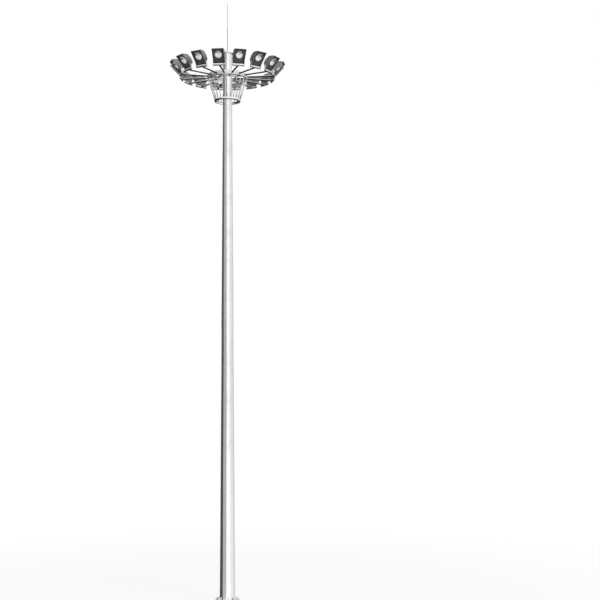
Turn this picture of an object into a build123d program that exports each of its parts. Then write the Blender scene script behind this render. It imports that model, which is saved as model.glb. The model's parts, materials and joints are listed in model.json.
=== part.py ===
"""High mast floodlight tower: a tapered twelve-sided steel mast whose head ring of sixteen
floodlights is lowered on three ropes for service. Millimetres, +Z up, origin on the axis at
the underside of the base flange. The floodlights are numbered anticlockwise from the first
one to the right of the -Y side. Tubes, rings, pins and sheaves have flat facets throughout."""
from build123d import *
from math import atan, cos, degrees, radians, sin
import os

# Mast shaft
shaft_sides = 12
shaft_turn = 20.5
base_radius = 280.0
top_radius = 162.0
mast_height = 19940.0
lower_wall = 8.0
upper_wall = 6.0
lap_bottom = 9700.0
lap_length = 650.0
slip_clearance = 0.3
weld_gap = 0.2
seat_clearance = 0.3

# Base flange, with a gusset below each facet and a bolt between each pair
flange_radius = 440.0
flange_thickness = 30.0
flange_bore_radius = 190.0
bolt_circle_radius = 370.0
bolt_hole_radius = 18.0
gusset_height = 110.0
gusset_thickness = 12.0
gusset_edge_margin = 18.0
gusset_toe = 20.0

# Access door on the far side
door_bottom = 480.0
door_height = 820.0
door_width = 230.0
door_end_sides = 16
door_gap = 3.0
door_frame_thickness = 10.0
door_frame_proud = 5.0
door_frame_depth = 70.0
door_frame_overrun = 100.0
door_stop_width = 16.0
door_quarter_turns = 1

# Mast head, measured from the top of the shaft
head_plate_thickness = 10.0
head_post_radius = 36.0
head_post_sides = 12
cap_sides = 24
cap_radius = 225.0
cap_rim_rise = 5.0
cap_rise = 125.0
cap_crown_radius = 70.0
cap_sheet = 5.0
cap_lip = 12.0
rod_sides = 10
rod_foot_radius = 40.0
rod_foot_thickness = 8.0
rod_lower_radius = 11.0
rod_lower_length = 832.0
rod_upper_radius = 7.0
rod_upper_length = 900.0
rod_point_length = 60.0
rod_point_radius = 1.5

# Hoist head: brackets, pulleys and ropes
hoist_count = 3
hoist_drop = 140.0
rope_radius = 4.0
rope_sides = 6
rope_line_radius = 345.0
rope_inner_radius = 90.0
rope_hole_radius = 14.0
rope_hole_sides = 8
pulley_radius = 80.0
pulley_root_radius = 66.0
pulley_width = 26.0
pulley_hub_radius = 26.0
pulley_hub_width = 34.0
pulley_pin_radius = 12.0
pulley_sides = 12
running_clearance = 0.1
cheek_thickness = 8.0
cheek_side_clearance = 1.0
cheek_nose_radius = 30.0
cheek_foot_height = 154.0
bracket_plate_width = 78.0
bracket_plate_height = 170.0
bracket_plate_thickness = 8.0
lug_width = 44.0
lug_thickness = 12.0
lug_height = 62.0
lug_hole_radius = 9.0

# Carriage rings and cage
ring_sides = 32
carriage_drop = 890.0
ring_web = 8.0
upper_ring_radius = 745.0
upper_ring_height = 170.0
upper_ring_flange = 72.0
arm_rise = 72.0
cage_height = 758.0
lower_ring_radius = 487.0
lower_ring_height = 90.0
lower_ring_flange = 72.0
cage_bar_count = 24
cage_bar_radius = 12.5
cage_bar_sides = 6
cage_bar_inset = 18.0
guide_ring_radius = 365.0
guide_ring_height = 100.0
guide_ring_web = 10.0
guide_ring_flange = 40.0

# Arms, spokes and yokes
lamp_count = 16
spoke_count = 8
arm_radius = 30.0
arm_wall = 3.0
arm_sides = 8
arm_length = 960.0
yoke_depth = 50.0
yoke_height = 60.0
yoke_wall = 4.0
ear_thickness = 8.0
ear_side_clearance = 8.0
ear_nose_radius = 24.0
ear_nose_sides = 8

# Floodlight
lamp_width = 420.0
lamp_length = 573.0
lamp_lean = 42.3
lamp_rim_depth = 16.0
lamp_wall = 4.0
lamp_lower_knee = (70.0, 118.0)
lamp_heel = (109.0, 195.0)
lamp_back = (260.0, 226.0)
lamp_shoulder = (441.0, 183.0)
glass_margin = 9.0
glass_thickness = 5.0
glass_recess = 4.0
glass_clearance = 0.3
lip_width = 22.0
lip_thickness = 5.0
mask_depth = 34.0
mask_thickness = 2.5
reflector_radius = 148.0
reflector_centre_from_top = 243.0
reflector_back_radius = 60.0
reflector_depth = 115.0
reflector_sides = 10
reflector_stages = (0.0, 0.4, 0.75, 1.0)
pivot_reach = 55.0
pivot_rise = 126.0
pivot_along = 94.0
pivot_back = 60.0
pivot_pin_radius = 8.0
pivot_pin_flat = 6.0
pivot_pin_end = 5.0
pivot_hole_sides = 8

# Values that follow from the driving ones
facet_ratio = cos(radians(180 / shaft_sides))
first_facet_angle = shaft_turn - 180 / shaft_sides
facet_angles = [first_facet_angle + 360 / shaft_sides * index for index in range(shaft_sides)]
lap_step = (upper_wall + slip_clearance) / facet_ratio
narrowing = (base_radius + lap_step - top_radius) / mast_height
shaft_taper = degrees(atan(narrowing * facet_ratio))
lap_top = lap_bottom + lap_length
foot_z = flange_thickness + weld_gap
door_angle = facet_angles[round(shaft_sides / 4) * door_quarter_turns]
head_plate_z = mast_height + weld_gap
cap_rim_z = mast_height + cap_rim_rise
cap_crown_z = cap_rim_z + cap_rise
pulley_z = mast_height - hoist_drop
rope_groove_radius = pulley_root_radius + seat_clearance + rope_radius
rope_top_z = pulley_z + rope_groove_radius
pulley_line_radius = rope_line_radius - rope_groove_radius
hoist_angles = [first_facet_angle + 360 / hoist_count * index for index in range(hoist_count)]
lamp_turn = -90 + 180 / lamp_count
lamp_angles = [lamp_turn + 360 / lamp_count * index for index in range(lamp_count)]
arm_axis_z = mast_height - carriage_drop
upper_ring_bottom = arm_axis_z - arm_rise
lower_ring_top = upper_ring_bottom - cage_height
lower_ring_bottom = lower_ring_top - lower_ring_height
guide_ring_top = arm_axis_z + guide_ring_height / 2
yoke_back_radius = upper_ring_radius + arm_length
yoke_top = arm_axis_z + yoke_height / 2
ear_inside = lamp_width / 2 + ear_side_clearance

os.makedirs("parts", exist_ok=True)
finished = []


def lower_radius(z):
    """Corner radius of the lower section's outside at height z."""
    return base_radius - narrowing * z


def upper_radius(z):
    """Corner radius of the upper section's outside at height z."""
    return lower_radius(z) + lap_step


def shaft_section(radius_at, z, inset=0.0):
    """Twelve-sided section of the shaft's outside at height z, drawn in by inset all round."""
    with BuildSketch(Plane.XY.offset(z)) as section:
        RegularPolygon(radius_at(z) - inset / facet_ratio, shaft_sides, rotation=shaft_turn)
    return section.sketch


def taper_between(start_radius, end_radius, length, sides):
    """Extrusion taper that narrows a polygon from one corner radius to another over a length."""
    return degrees(atan((start_radius - end_radius) * cos(radians(180 / sides)) / length))


def radial_plane(angle, side=0.0):
    """Upright plane through the axis: x outwards at the angle, y up, moved sideways by side."""
    outward = Vector(cos(radians(angle)), sin(radians(angle)), 0)
    sideways = Vector(sin(radians(angle)), -cos(radians(angle)), 0)
    return Plane(origin=sideways * side, x_dir=outward, z_dir=sideways)


def ring_outline(radius, z):
    """Many-sided disc at height z, radius to its flats, with a flat facing each floodlight."""
    with BuildSketch(Plane.XY.offset(z)) as outline:
        RegularPolygon(radius, ring_sides, major_radius=False, rotation=lamp_turn + 180 / ring_sides)
    return outline.sketch


def finish(piece, name):
    """Name a finished piece, write its file and keep it for the count."""
    piece.label = name
    export_step(piece, f"parts/{name}.step")
    finished.append(piece)


# Base flange with its bolt holes, and the gussets that brace the shaft's foot
with BuildPart() as base_flange:
    with BuildSketch():
        RegularPolygon(flange_radius, shaft_sides, rotation=shaft_turn)
        RegularPolygon(flange_bore_radius, shaft_sides, rotation=shaft_turn, mode=Mode.SUBTRACT)
        with PolarLocations(bolt_circle_radius, shaft_sides, shaft_turn):
            Circle(bolt_hole_radius, mode=Mode.SUBTRACT)
    extrude(amount=flange_thickness)
finish(base_flange.part, "base_flange")

gusset_low_edge = lower_radius(foot_z) * facet_ratio + weld_gap
gusset_high_edge = lower_radius(foot_z + gusset_height) * facet_ratio + weld_gap
gusset_outer_edge = flange_radius * facet_ratio - gusset_edge_margin
with BuildPart() as base_gussets:
    for angle in facet_angles:
        with BuildSketch(radial_plane(angle)):
            with BuildLine():
                Polyline(
                    (gusset_low_edge, foot_z),
                    (gusset_outer_edge, foot_z),
                    (gusset_outer_edge, foot_z + gusset_toe),
                    (gusset_high_edge + gusset_toe, foot_z + gusset_height),
                    (gusset_high_edge, foot_z + gusset_height),
                    close=True,
                )
            make_face()
        extrude(amount=gusset_thickness / 2, both=True)
finish(base_gussets.part, "base_gussets")

# Access door's outline, flattened ends included, on an upright plane through the axis
door_centre = door_bottom + door_height / 2
door_reach = base_radius
door_plane = Plane(
    origin=(0, 0, door_centre),
    x_dir=(0, 0, 1),
    z_dir=(cos(radians(door_angle)), sin(radians(door_angle)), 0),
)


def door_outline(inset):
    """Upright long outline with many-sided ends, drawn in by inset all round."""
    with BuildSketch() as outline:
        with GridLocations(door_height - door_width, 0, 2, 1):
            RegularPolygon(door_width / 2 - inset, door_end_sides)
        make_hull()
    return outline.sketch


# Shaft in two sections, the upper one slipped over the lower
with BuildPart() as mast_lower_section:
    lower_length = lap_top - foot_z
    extrude(shaft_section(lower_radius, foot_z), amount=lower_length, taper=shaft_taper)
    extrude(
        shaft_section(lower_radius, foot_z, inset=lower_wall),
        amount=lower_length,
        taper=shaft_taper,
        mode=Mode.SUBTRACT,
    )
    with BuildSketch(door_plane):
        add(door_outline(0))
    extrude(amount=door_reach, mode=Mode.SUBTRACT)
finish(mast_lower_section.part, "mast_lower_section")

with BuildPart() as mast_upper_section:
    upper_length = mast_height - lap_bottom
    extrude(shaft_section(upper_radius, lap_bottom), amount=upper_length, taper=shaft_taper)
    extrude(
        shaft_section(upper_radius, lap_bottom, inset=upper_wall),
        amount=upper_length,
        taper=shaft_taper,
        mode=Mode.SUBTRACT,
    )
    for angle in hoist_angles:
        outward = (cos(radians(angle)), sin(radians(angle)), 0)
        with BuildSketch(Plane(origin=(0, 0, rope_top_z), x_dir=(0, 0, 1), z_dir=outward)):
            RegularPolygon(rope_hole_radius, rope_hole_sides)
        extrude(amount=base_radius, mode=Mode.SUBTRACT)
finish(mast_upper_section.part, "mast_upper_section")

# Door opening's frame with a stop behind the leaf, and the leaf in line with the shaft's wall
frame_low = door_bottom - door_frame_overrun
frame_length = door_height + 2 * door_frame_overrun
frame_back = lower_radius(door_centre) * facet_ratio - door_frame_depth
frame_inset = weld_gap + door_frame_thickness
with BuildPart() as stop_ring:
    stop_face = lower_wall + seat_clearance
    extrude(
        shaft_section(lower_radius, frame_low, inset=stop_face),
        amount=frame_length,
        taper=shaft_taper,
    )
    with BuildSketch(door_plane.offset(frame_back)):
        add(door_outline(weld_gap))
        add(door_outline(frame_inset + door_stop_width), mode=Mode.SUBTRACT)
    extrude(amount=door_reach - frame_back, mode=Mode.INTERSECT)
with BuildPart() as door_frame:
    extrude(
        shaft_section(lower_radius, frame_low, inset=-door_frame_proud),
        amount=frame_length,
        taper=shaft_taper,
    )
    with BuildSketch(door_plane.offset(frame_back)):
        add(door_outline(weld_gap))
        add(door_outline(frame_inset), mode=Mode.SUBTRACT)
    extrude(amount=door_reach - frame_back, mode=Mode.INTERSECT)
    add(stop_ring.part)
finish(door_frame.part, "door_frame")

with BuildPart() as access_door:
    extrude(shaft_section(lower_radius, frame_low), amount=frame_length, taper=shaft_taper)
    extrude(
        shaft_section(lower_radius, frame_low, inset=lower_wall),
        amount=frame_length,
        taper=shaft_taper,
        mode=Mode.SUBTRACT,
    )
    with BuildSketch(door_plane):
        add(door_outline(frame_inset + door_gap))
    extrude(amount=door_reach, mode=Mode.INTERSECT)
finish(access_door.part, "access_door")

# Head plate and post under the rain cap, the cap's folded sheet, and the rod on its crown
with BuildPart() as head_plate:
    with BuildSketch(Plane.XY.offset(head_plate_z)):
        RegularPolygon(top_radius, shaft_sides, rotation=shaft_turn)
    extrude(amount=head_plate_thickness)
    post_foot = head_plate_z + head_plate_thickness
    with BuildSketch(Plane.XY.offset(post_foot)):
        RegularPolygon(head_post_radius, head_post_sides)
    extrude(amount=cap_crown_z - cap_sheet - seat_clearance - post_foot)
finish(head_plate.part, "head_plate")

cap_taper = taper_between(cap_radius, cap_crown_radius, cap_rise, cap_sides)
with BuildPart() as rain_cap:
    for shrink, mode in ((0, Mode.ADD), (cap_sheet, Mode.SUBTRACT)):
        with BuildSketch(Plane.XY.offset(cap_rim_z - cap_lip)):
            RegularPolygon(cap_radius - shrink, cap_sides)
        extrude(amount=cap_lip - shrink, mode=mode)
        with BuildSketch(Plane.XY.offset(cap_rim_z - shrink)):
            RegularPolygon(cap_radius - shrink, cap_sides)
        extrude(amount=cap_rise, taper=cap_taper, mode=mode)
finish(rain_cap.part, "rain_cap")

rod_foot_z = cap_crown_z + weld_gap
rod_lower_foot = rod_foot_z + rod_foot_thickness
rod_upper_foot = rod_lower_foot + rod_lower_length
rod_point_foot = rod_upper_foot + rod_upper_length
rod_point_taper = taper_between(rod_upper_radius, rod_point_radius, rod_point_length, rod_sides)
with BuildPart() as lightning_rod:
    for z, radius, length, taper in (
        (rod_foot_z, rod_foot_radius, rod_foot_thickness, 0),
        (rod_lower_foot, rod_lower_radius, rod_lower_length, 0),
        (rod_upper_foot, rod_upper_radius, rod_upper_length, 0),
        (rod_point_foot, rod_upper_radius, rod_point_length, rod_point_taper),
    ):
        with BuildSketch(Plane.XY.offset(z)):
            RegularPolygon(radius, rod_sides)
        extrude(amount=length, taper=taper)
finish(lightning_rod.part, "lightning_rod")

# Pulley brackets: a plate on the facet, two cheeks and the pulley's pin
cheek_inside = pulley_hub_width / 2 + cheek_side_clearance
bracket_apothem = upper_radius(pulley_z) * facet_ratio
cheek_foot = bracket_apothem + bracket_plate_thickness
with BuildPart() as head_brackets:
    for angle in hoist_angles:
        outward = Vector(cos(radians(angle)), sin(radians(angle)), narrowing * facet_ratio)
        level = Vector(-sin(radians(angle)), cos(radians(angle)), 0)
        seat = radial_plane(angle).from_local_coords((bracket_apothem, pulley_z, 0))
        plate_plane = Plane(origin=seat, x_dir=level, z_dir=outward)
        with BuildSketch(plate_plane.offset(weld_gap)):
            Rectangle(bracket_plate_width, bracket_plate_height)
            with Locations((0, rope_top_z - pulley_z)):
                RegularPolygon(rope_hole_radius, rope_hole_sides, mode=Mode.SUBTRACT)
        extrude(amount=bracket_plate_thickness)
        for side in (-1, 1):
            with BuildSketch(radial_plane(angle, side * (cheek_inside + cheek_thickness / 2))):
                with Locations((cheek_foot, pulley_z)):
                    Rectangle(cheek_thickness, cheek_foot_height)
                with Locations((pulley_line_radius, pulley_z)):
                    RegularPolygon(cheek_nose_radius, ear_nose_sides)
                make_hull()
            extrude(amount=cheek_thickness / 2, both=True)
        with BuildSketch(radial_plane(angle)):
            with Locations((pulley_line_radius, pulley_z)):
                RegularPolygon(pulley_pin_radius, pulley_sides)
        extrude(amount=cheek_inside + cheek_thickness, both=True)
finish(head_brackets.part, "head_brackets")

flare_width = pulley_width / 2 - rope_radius
flare_taper = taper_between(pulley_radius, pulley_root_radius, flare_width, pulley_sides)
with BuildPart() as pulley:
    with BuildSketch():
        RegularPolygon(pulley_root_radius, pulley_sides)
    extrude(amount=rope_radius, both=True)
    for side in (-1, 1):
        with BuildSketch(Plane(origin=(0, 0, side * pulley_width / 2), z_dir=(0, 0, -side))):
            RegularPolygon(pulley_radius, pulley_sides)
        extrude(amount=flare_width, taper=flare_taper)
    with BuildSketch():
        RegularPolygon(pulley_hub_radius, pulley_sides)
    extrude(amount=pulley_hub_width / 2, both=True)
    with BuildSketch():
        RegularPolygon(pulley_pin_radius + running_clearance, pulley_sides)
    extrude(amount=pulley_hub_width, both=True, mode=Mode.SUBTRACT)
with BuildPart() as head_pulleys:
    for angle in hoist_angles:
        centre = radial_plane(angle).from_local_coords((pulley_line_radius, pulley_z, 0))
        outward = radial_plane(angle).x_dir
        sideways = radial_plane(angle).z_dir
        with Locations(Plane(origin=centre, x_dir=outward, z_dir=sideways).location):
            add(pulley.part)
finish(head_pulleys.part, "head_pulleys")

# Ropes: over the pulleys into the shaft, and down to the carriage
with BuildPart() as pulley_ropes:
    for angle in hoist_angles:
        arc_plane = radial_plane(angle)
        side_point = arc_plane.from_local_coords((rope_line_radius, pulley_z, 0))
        with BuildSketch(Plane(origin=side_point, x_dir=arc_plane.x_dir, z_dir=(0, 0, 1))):
            RegularPolygon(rope_radius, rope_sides)
        centre = arc_plane.from_local_coords((pulley_line_radius, pulley_z, 0))
        revolve(axis=Axis(centre, arc_plane.z_dir), revolution_arc=90)
        top_point = arc_plane.from_local_coords((pulley_line_radius, rope_top_z, 0))
        with BuildSketch(Plane(origin=top_point, x_dir=(0, 0, 1), z_dir=-arc_plane.x_dir)):
            RegularPolygon(rope_radius, rope_sides)
        extrude(amount=pulley_line_radius - rope_inner_radius)
finish(pulley_ropes.part, "pulley_ropes")

lug_foot = guide_ring_top + weld_gap
rope_end_z = lug_foot + lug_height + weld_gap
with BuildPart() as hoist_ropes:
    with BuildSketch(Plane.XY.offset(rope_end_z)):
        with PolarLocations(rope_line_radius, hoist_count, first_facet_angle):
            RegularPolygon(rope_radius, rope_sides)
    extrude(amount=pulley_z - weld_gap - rope_end_z)
finish(hoist_ropes.part, "hoist_ropes")

with BuildPart() as rope_lugs:
    for angle in hoist_angles:
        with BuildSketch(radial_plane(angle)):
            with Locations((rope_line_radius, lug_foot + lug_height / 2)):
                Rectangle(lug_width, lug_height)
                RegularPolygon(lug_hole_radius, rope_hole_sides, mode=Mode.SUBTRACT)
        extrude(amount=lug_thickness / 2, both=True)
finish(rope_lugs.part, "rope_lugs")

# Carriage rings: two channels with their flanges inward, and an angle round the mast
for name, radius, low, height, flange in (
    ("upper_ring", upper_ring_radius, upper_ring_bottom, upper_ring_height, upper_ring_flange),
    ("lower_ring", lower_ring_radius, lower_ring_bottom, lower_ring_height, lower_ring_flange),
):
    with BuildPart() as channel_ring:
        extrude(ring_outline(radius, low), amount=height)
        extrude(ring_outline(radius - flange, low), amount=height, mode=Mode.SUBTRACT)
        extrude(
            ring_outline(radius - ring_web, low + ring_web),
            amount=height - 2 * ring_web,
            mode=Mode.SUBTRACT,
        )
    finish(channel_ring.part, name)

guide_ring_low = guide_ring_top - guide_ring_height
with BuildPart() as guide_ring:
    extrude(ring_outline(guide_ring_radius, guide_ring_low), amount=guide_ring_height)
    extrude(
        ring_outline(guide_ring_radius - guide_ring_flange, guide_ring_low),
        amount=guide_ring_height,
        mode=Mode.SUBTRACT,
    )
    extrude(
        ring_outline(guide_ring_radius - guide_ring_web, guide_ring_low),
        amount=guide_ring_height - guide_ring_web,
        mode=Mode.SUBTRACT,
    )
finish(guide_ring.part, "guide_ring")

# Cage of straight bars from the lower ring's flange out to the upper ring's flange
bar_low = lower_ring_top + weld_gap
bar_high = upper_ring_bottom - weld_gap
bar_low_radius = lower_ring_radius - cage_bar_inset
bar_high_radius = upper_ring_radius - cage_bar_inset
bar_overrun = 2 * cage_bar_radius
with BuildPart() as cage_bar:
    run = Vector(bar_high_radius - bar_low_radius, 0, bar_high - bar_low)
    start = Vector(bar_low_radius, 0, bar_low) - run.normalized() * bar_overrun
    with BuildSketch(Plane(origin=start, z_dir=run)):
        RegularPolygon(cage_bar_radius, cage_bar_sides)
    extrude(amount=run.length + 2 * bar_overrun)
    split(bisect_by=Plane.XY.offset(bar_low), keep=Keep.TOP)
    split(bisect_by=Plane.XY.offset(bar_high), keep=Keep.BOTTOM)
with BuildPart() as cage_bars:
    with PolarLocations(0, cage_bar_count, lamp_turn):
        add(cage_bar.part)
finish(cage_bars.part, "cage_bars")

# Spokes from the guide ring to the upper ring, and arms from there to the floodlights
upper_ring_inner = upper_ring_radius - ring_web
for name, count, low, high in (
    ("ring_spokes", spoke_count, guide_ring_radius, upper_ring_inner),
    ("lamp_arms", lamp_count, upper_ring_radius, yoke_back_radius),
):
    with BuildPart() as tube:
        with BuildSketch(Plane.YZ.offset(low + weld_gap)):
            with Locations((0, arm_axis_z)):
                RegularPolygon(arm_radius, arm_sides)
                RegularPolygon(arm_radius - arm_wall, arm_sides, mode=Mode.SUBTRACT)
        extrude(amount=high - low - 2 * weld_gap)
    with BuildPart() as tubes:
        with PolarLocations(0, count, lamp_turn):
            add(tube.part)
    finish(tubes.part, name)

# Floodlight's own planes: side_plane has x up the face and y into the body
lean_sine = sin(radians(lamp_lean))
lean_cosine = cos(radians(lamp_lean))
up_face = Vector(lean_sine, 0, lean_cosine)
into_body = Vector(-lean_cosine, 0, lean_sine)
pivot = Vector(yoke_back_radius + pivot_reach, 0, yoke_top + pivot_rise)
face_foot = pivot - up_face * pivot_along - into_body * pivot_back
side_plane = Plane(origin=face_foot, x_dir=up_face, z_dir=(0, -1, 0))
face_plane = Plane(origin=face_foot, x_dir=up_face, z_dir=into_body)

# Yokes: a box bar across the arm's end with an ear at each end for the pivot pin
yoke_middle = (yoke_back_radius + yoke_depth / 2, arm_axis_z)
with BuildPart() as yoke:
    with BuildSketch(Plane.XZ):
        with Locations(yoke_middle):
            Rectangle(yoke_depth, yoke_height)
            Rectangle(yoke_depth - 2 * yoke_wall, yoke_height - 2 * yoke_wall, mode=Mode.SUBTRACT)
    extrude(amount=ear_inside, both=True)
    for side in (-1, 1):
        with BuildSketch(Plane.XZ.offset(side * (ear_inside + ear_thickness / 2))):
            with Locations(yoke_middle):
                Rectangle(yoke_depth, yoke_height)
            with Locations((pivot.X, pivot.Z)):
                RegularPolygon(ear_nose_radius, ear_nose_sides)
            make_hull()
            with Locations((pivot.X, pivot.Z)):
                RegularPolygon(
                    pivot_pin_radius + running_clearance,
                    pivot_hole_sides,
                    major_radius=False,
                    mode=Mode.SUBTRACT,
                )
        extrude(amount=ear_thickness / 2, both=True)
with BuildPart() as lamp_yokes:
    with PolarLocations(0, lamp_count, lamp_turn):
        add(yoke.part)
finish(lamp_yokes.part, "lamp_yokes")

# Floodlight housing: a folded shell with a straight front rim and a stepped seat for the glass,
# behind it a mask with the reflector's bowl, and at the sides pivot pins with four spanner flats
housing_back = glass_recess + glass_thickness + glass_clearance + lip_thickness
reflector_along = lamp_length - reflector_centre_from_top


def housing_outline():
    """The floodlight's side outline as one closed face, x up its front and y into it."""
    with BuildSketch() as outline:
        with BuildLine():
            Polyline(
                (0, 0),
                (0, lamp_rim_depth),
                lamp_lower_knee,
                lamp_heel,
                lamp_back,
                lamp_shoulder,
                (lamp_length, lamp_rim_depth),
                (lamp_length, 0),
                close=True,
            )
        make_face()
    return outline.sketch


def bowl_radius(share):
    """The bowl's corner radius at a share of its depth, narrowing as an ellipse does."""
    return reflector_back_radius + (reflector_radius - reflector_back_radius) * (1 - share**2) ** 0.5


with BuildPart() as housing:
    with BuildSketch(side_plane):
        add(housing_outline())
    extrude(amount=lamp_width / 2, both=True)
    with BuildSketch(side_plane):
        add(housing_outline())
        offset(amount=-lamp_wall, kind=Kind.INTERSECTION, mode=Mode.REPLACE)
        with Locations((lamp_length / 2, housing_back + lamp_length / 2)):
            Rectangle(lamp_length, lamp_length, mode=Mode.INTERSECT)
    extrude(amount=lamp_width / 2 - lamp_wall, both=True, mode=Mode.SUBTRACT)
    glass_length = lamp_length - 2 * glass_margin
    glass_width = lamp_width - 2 * glass_margin
    with BuildSketch(face_plane):
        with Locations((lamp_length / 2, 0)):
            Rectangle(glass_length, glass_width)
    extrude(amount=glass_recess + glass_thickness + glass_clearance, mode=Mode.SUBTRACT)
    with BuildSketch(face_plane):
        with Locations((lamp_length / 2, 0)):
            Rectangle(lamp_length - 2 * lip_width, lamp_width - 2 * lip_width)
    extrude(amount=housing_back, mode=Mode.SUBTRACT)
    with BuildSketch(face_plane.offset(mask_depth)):
        with Locations((lamp_length / 2, 0)):
            Rectangle(lamp_length - 2 * lip_width, lamp_width - 2 * lamp_wall)
    extrude(amount=mask_thickness)
    for skin, mode in ((mask_thickness, Mode.ADD), (0, Mode.SUBTRACT)):
        for near, far in zip(reflector_stages, reflector_stages[1:]):
            length = reflector_depth * (far - near)
            depth = mask_depth - mask_thickness + skin + reflector_depth * near
            with BuildSketch(face_plane.offset(depth)):
                with Locations((reflector_along, 0)):
                    RegularPolygon(bowl_radius(near) + skin, reflector_sides)
            taper = taper_between(bowl_radius(near), bowl_radius(far), length, reflector_sides)
            extrude(amount=length, taper=taper, mode=mode)
    for side in (-1, 1):
        with BuildSketch(Plane.XZ.offset(side * lamp_width / 2)):
            with Locations((pivot.X, pivot.Z)):
                Circle(pivot_pin_radius)
                Rectangle(2 * pivot_pin_flat, 2 * pivot_pin_flat, mode=Mode.INTERSECT)
        extrude(amount=side * (ear_side_clearance + ear_thickness + pivot_pin_end))

with BuildPart() as glass:
    with BuildSketch(face_plane.offset(glass_recess)):
        with Locations((lamp_length / 2, 0)):
            Rectangle(glass_length - 2 * glass_clearance, glass_width - 2 * glass_clearance)
    extrude(amount=glass_thickness)

for number, angle in enumerate(lamp_angles, 1):
    for piece, name in ((housing, "housing"), (glass, "glass")):
        with BuildPart() as placed:
            with Locations(Location((0, 0, 0), (0, 0, angle))):
                add(piece.part)
        finish(placed.part, f"floodlight_{number:02d}_{name}")

print(len(finished), "pieces written")
print("pivot radius and height", round(pivot.X, 2), round(pivot.Z, 2))
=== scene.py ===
import json
from math import atan2, cos, hypot, pi, radians, sin

import bmesh
import bpy
import numpy as np
from mathutils import Matrix, Vector

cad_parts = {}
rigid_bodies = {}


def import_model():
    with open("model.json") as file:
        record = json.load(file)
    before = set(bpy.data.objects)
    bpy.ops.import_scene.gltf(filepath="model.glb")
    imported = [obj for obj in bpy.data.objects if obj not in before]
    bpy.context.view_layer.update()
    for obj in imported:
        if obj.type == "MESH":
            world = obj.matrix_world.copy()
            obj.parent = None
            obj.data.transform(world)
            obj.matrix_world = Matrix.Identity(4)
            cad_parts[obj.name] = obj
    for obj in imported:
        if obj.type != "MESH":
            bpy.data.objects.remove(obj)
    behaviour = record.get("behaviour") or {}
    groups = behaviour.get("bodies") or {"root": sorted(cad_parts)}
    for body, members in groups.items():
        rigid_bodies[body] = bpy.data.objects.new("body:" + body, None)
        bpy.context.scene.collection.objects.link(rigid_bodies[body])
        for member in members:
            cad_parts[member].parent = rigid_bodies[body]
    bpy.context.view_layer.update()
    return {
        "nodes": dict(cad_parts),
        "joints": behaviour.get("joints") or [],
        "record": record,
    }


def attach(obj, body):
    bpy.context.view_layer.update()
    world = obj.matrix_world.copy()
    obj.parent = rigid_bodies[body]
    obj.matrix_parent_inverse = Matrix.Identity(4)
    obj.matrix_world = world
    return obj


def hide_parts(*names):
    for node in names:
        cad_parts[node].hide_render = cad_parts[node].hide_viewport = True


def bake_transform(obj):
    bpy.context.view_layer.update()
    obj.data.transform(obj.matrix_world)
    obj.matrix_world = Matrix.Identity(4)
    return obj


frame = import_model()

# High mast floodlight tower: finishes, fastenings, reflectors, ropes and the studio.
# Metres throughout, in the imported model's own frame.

scene = bpy.context.scene
rng = np.random.default_rng(20)
X_AXIS, Y_AXIS, Z_AXIS = np.eye(3)

# Camera: measured from the photograph, with the mast upright at column 227.5 of 600
CAMERA_DISTANCE = 41.66
CAMERA_HEIGHT = 7.785
CAMERA_SWING = radians(1.54)
CAMERA_PAN = radians(3.643)
CAMERA_PITCH = radians(4.1157)
CAMERA_ROLL = radians(-0.2618)
CAMERA_LENS = 68.5
CAMERA_SENSOR = 36.0
CAMERA_REACH = 400.0

# Floodlight: body, pivots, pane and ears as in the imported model, and what is fitted to them.
# Places along run up the face from its lower end, and depths run back into the body.
LAMP_LEAN = radians(42.3)
LAMP_WIDTH = 0.420
LAMP_LENGTH = 0.573
PIVOT_ALONG = 0.094
PIVOT_BACK = 0.060
EAR_OUTSIDE = 0.2264
PANE_GAP = 0.0186
PANE_FRONT = 0.004
REFLECTOR_ALONG = 0.330
REFLECTOR_MOUTH = 0.1395
REFLECTOR_SQUEEZE = 0.92
REFLECTOR_BACK = 0.052
REFLECTOR_FRONT = 0.0335
REFLECTOR_DEPTH = 0.108
REFLECTOR_FLANGE = 0.012
SHEET = 0.0010
BULB_RADIUS = 0.023
BULB_HALF = 0.068
BULB_OFF_CENTRE = 0.022
BULB_DEPTH = 0.085
BULB_SEAT = 0.008
GASKET_WIDTH = 0.007
SCREW_INSET = 0.0046
SCREW_END = 0.05
SCREW_SPREAD = 0.12
SCREW_PROUD = 0.0022

# Where the mask's paint starts and ends: in from the body's edges, and back from its face
MASK_EDGE = (0.0042, 0.0044)
MASK_FRONT = (0.0090, 0.0095)
MASK_BACK = (0.045, 0.050)

# Mast and its head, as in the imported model
SHAFT_SIDES = 12
SHAFT_TURN = radians(20.5)
FIRST_FACET = SHAFT_TURN - pi / SHAFT_SIDES
DOOR_FACET = 3
BASE_RADIUS = 0.280
NARROWING = 0.006245
BOLT_CIRCLE = 0.370
FLANGE_TOP = 0.030
CAP_RADIUS = 0.225
CAP_TOP = 0.070
CAP_RIM = 19.945
CAP_LIP = 0.012
CAP_SHEET = 0.005
CAP_CROWN = 20.070
ROD_FOOT = 20.0702
PULLEY_Z = 19.800
PULLEY_RADIUS = 0.2747
PULLEY_CHEEK = 0.0262
ROPE_GROOVE = 0.0703
ROPE_LINE = 0.345
ROPE_INNER = 0.090
ROPE_RADIUS = 0.004
ROPE_END = 19.1624
HOIST_COUNT = 3

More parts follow.
